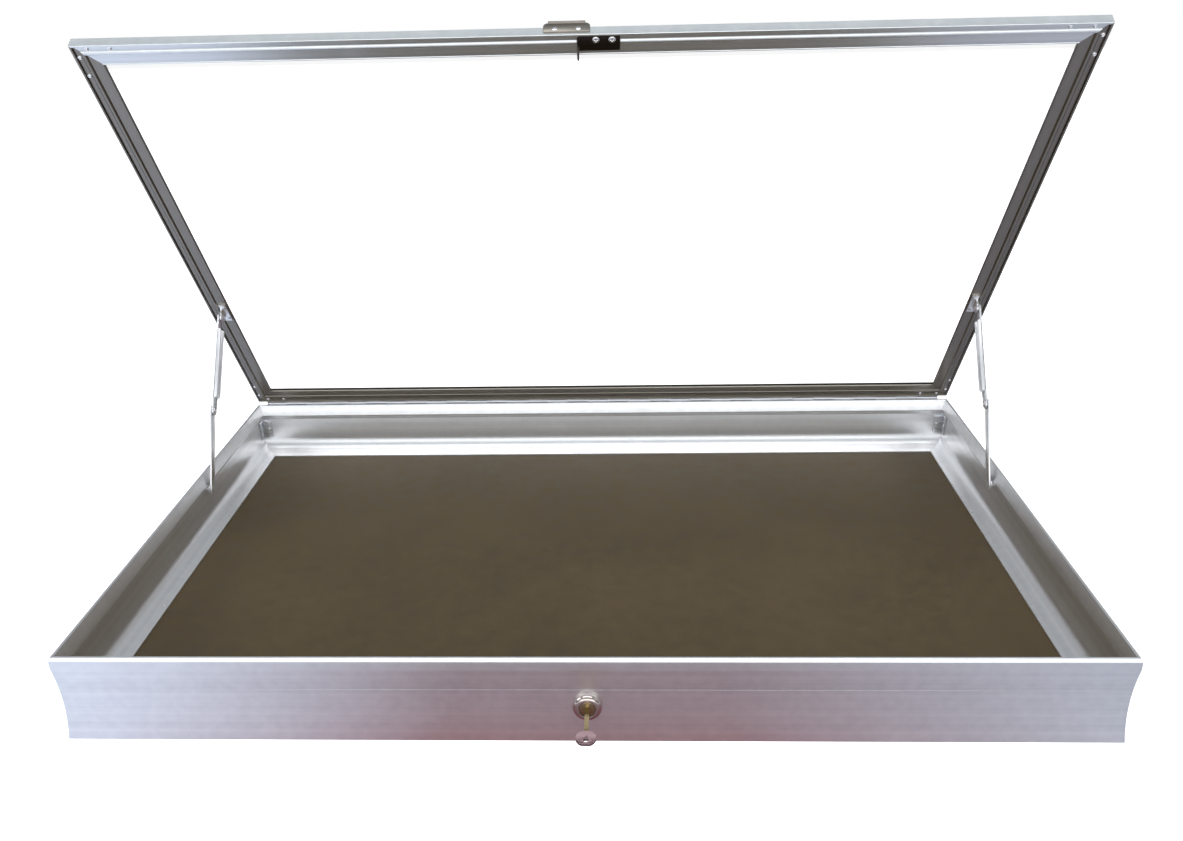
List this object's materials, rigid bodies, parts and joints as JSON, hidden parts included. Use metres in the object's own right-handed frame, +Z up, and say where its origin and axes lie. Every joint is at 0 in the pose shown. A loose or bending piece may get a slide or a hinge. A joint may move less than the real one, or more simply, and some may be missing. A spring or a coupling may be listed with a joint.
{
  "type": "cold frame",
  "caption": "Low glazed frame: a shallow mitred aluminium case with a hardboard base, a hinged glazed lid held open by folding stays, and a front cam lock with its key.",
  "frame": {"origin": "middle of the case footprint at the level it stands on", "axes": "+Z up, +Y towards the hinge side, +X to the right seen from the lock side"},
  "size_m": [0.864, 0.6152, 0.5429],
  "materials": {
    "case_aluminium": "satin extruded, fine lines along each rail",
    "hardboard": "smooth face of brown hardboard",
    "bracket_aluminium": "bright mill finish",
    "fastener_steel": "bright plated",
    "hinge_aluminium": "satin",
    "lock_chrome": "polished plating",
    "lock_brass": "polished",
    "key_brass": "worn, partly plated",
    "lid_aluminium": "satin extruded",
    "corner_key_plastic": "moulded",
    "clear_glass": "clear",
    "seal_rubber": "matt",
    "bead_aluminium": "satin extruded",
    "strike_bronze": "dark bronze plating",
    "stay_aluminium": "bright satin",
    "spring_steel": "bright"
  },
  "bodies": {
    "case": {"front_rail": "case_aluminium", "rear_rail": "case_aluminium", "left_rail": "case_aluminium", "right_rail": "case_aluminium", "base_panel": "hardboard", "panel_rivets": "fastener_steel", "corner_bracket_front_left": "bracket_aluminium", "corner_bracket_front_right": "bracket_aluminium", "corner_bracket_rear_left": "bracket_aluminium", "corner_bracket_rear_right": "bracket_aluminium", "corner_rivets": "fastener_steel", "hinge_leaf_case": "hinge_aluminium", "hinge_pin": "fastener_steel", "hinge_case_rivets": "fastener_steel", "lock_body": "lock_chrome", "lock_nut": "lock_chrome", "stay_wall_bracket_left": "stay_aluminium", "stay_wall_bracket_right": "stay_aluminium"},
    "lid": {"hinge_leaf_lid": "hinge_aluminium", "hinge_lid_rivets": "fastener_steel", "lid_front_rail": "lid_aluminium", "lid_rear_rail": "lid_aluminium", "lid_left_rail": "lid_aluminium", "lid_right_rail": "lid_aluminium", "lid_corner_keys": "corner_key_plastic", "lid_corner_screws": "fastener_steel", "glass_pane": "clear_glass", "glazing_seal": "seal_rubber", "glazing_bead_front": "bead_aluminium", "glazing_bead_rear": "bead_aluminium", "glazing_bead_left": "bead_aluminium", "glazing_bead_right": "bead_aluminium", "strike_plate": "strike_bronze", "strike_screws": "fastener_steel", "finger_pull": "lid_aluminium", "pull_rivets": "fastener_steel", "stay_lid_bracket_left": "stay_aluminium", "stay_lid_pin_left": "stay_aluminium", "stay_lid_bracket_right": "stay_aluminium", "stay_lid_pin_right": "stay_aluminium"},
    "lock_plug": {"lock_plug": "lock_brass", "lock_cam": "lock_chrome", "cam_screw": "fastener_steel"},
    "key": {"key": "key_brass"},
    "lower_stay_left": {"stay_lower_link_left": "stay_aluminium", "stay_elbow_pin_left": "stay_aluminium"},
    "upper_stay_left": {"stay_upper_link_left": "stay_aluminium", "stay_elbow_cap_left": "stay_aluminium", "stay_spring_left": "spring_steel"},
    "lower_stay_right": {"stay_lower_link_right": "stay_aluminium", "stay_elbow_pin_right": "stay_aluminium"},
    "upper_stay_right": {"stay_upper_link_right": "stay_aluminium", "stay_elbow_cap_right": "stay_aluminium", "stay_spring_right": "spring_steel"}
  },
  "joints": [
    {"name": "lid_hinge", "type": "hinge", "parent": "case", "child": "lid", "pos_m": [0, 0.2822, 0.0805], "axis": [1, 0, 0], "range_deg": [0, 53.5]},
    {"name": "lock_turn", "type": "hinge", "parent": "case", "child": "lock_plug", "pos_m": [0.0015, -0.2795, 0.034], "axis": [0, -1, 0], "range_deg": [0, 90]},
    {"name": "key_pull", "type": "slide", "parent": "lock_plug", "child": "key", "axis": [0, -1, 0], "range_m": [0, 0.02]},
    {"name": "stay_wall_pivot_left", "type": "hinge", "parent": "case", "child": "lower_stay_left", "pos_m": [-0.4218, 0.074, 0.061], "axis": [1, 0, 0], "range_deg": [0, 118.7]},
    {"name": "stay_lid_pivot_left", "type": "hinge", "parent": "lid", "child": "upper_stay_left", "pos_m": [-0.4195, 0.16518, 0.2299], "axis": [1, 0, 0], "range_deg": [-100.1, 0]},
    {"name": "stay_wall_pivot_right", "type": "hinge", "parent": "case", "child": "lower_stay_right", "pos_m": [0.4218, 0.074, 0.061], "axis": [1, 0, 0], "range_deg": [0, 118.7]},
    {"name": "stay_lid_pivot_right", "type": "hinge", "parent": "lid", "child": "upper_stay_right", "pos_m": [0.4195, 0.16518, 0.2299], "axis": [1, 0, 0], "range_deg": [-100.1, 0]}
  ],
  "couplings": [
    {"joint": "stay_wall_pivot_left", "follows": "lid_hinge", "ratio": 2.1996},
    {"joint": "stay_lid_pivot_left", "follows": "lid_hinge", "ratio": -1.853},
    {"joint": "stay_wall_pivot_right", "follows": "lid_hinge", "ratio": 2.1996},
    {"joint": "stay_lid_pivot_right", "follows": "lid_hinge", "ratio": -1.853}
  ]
}
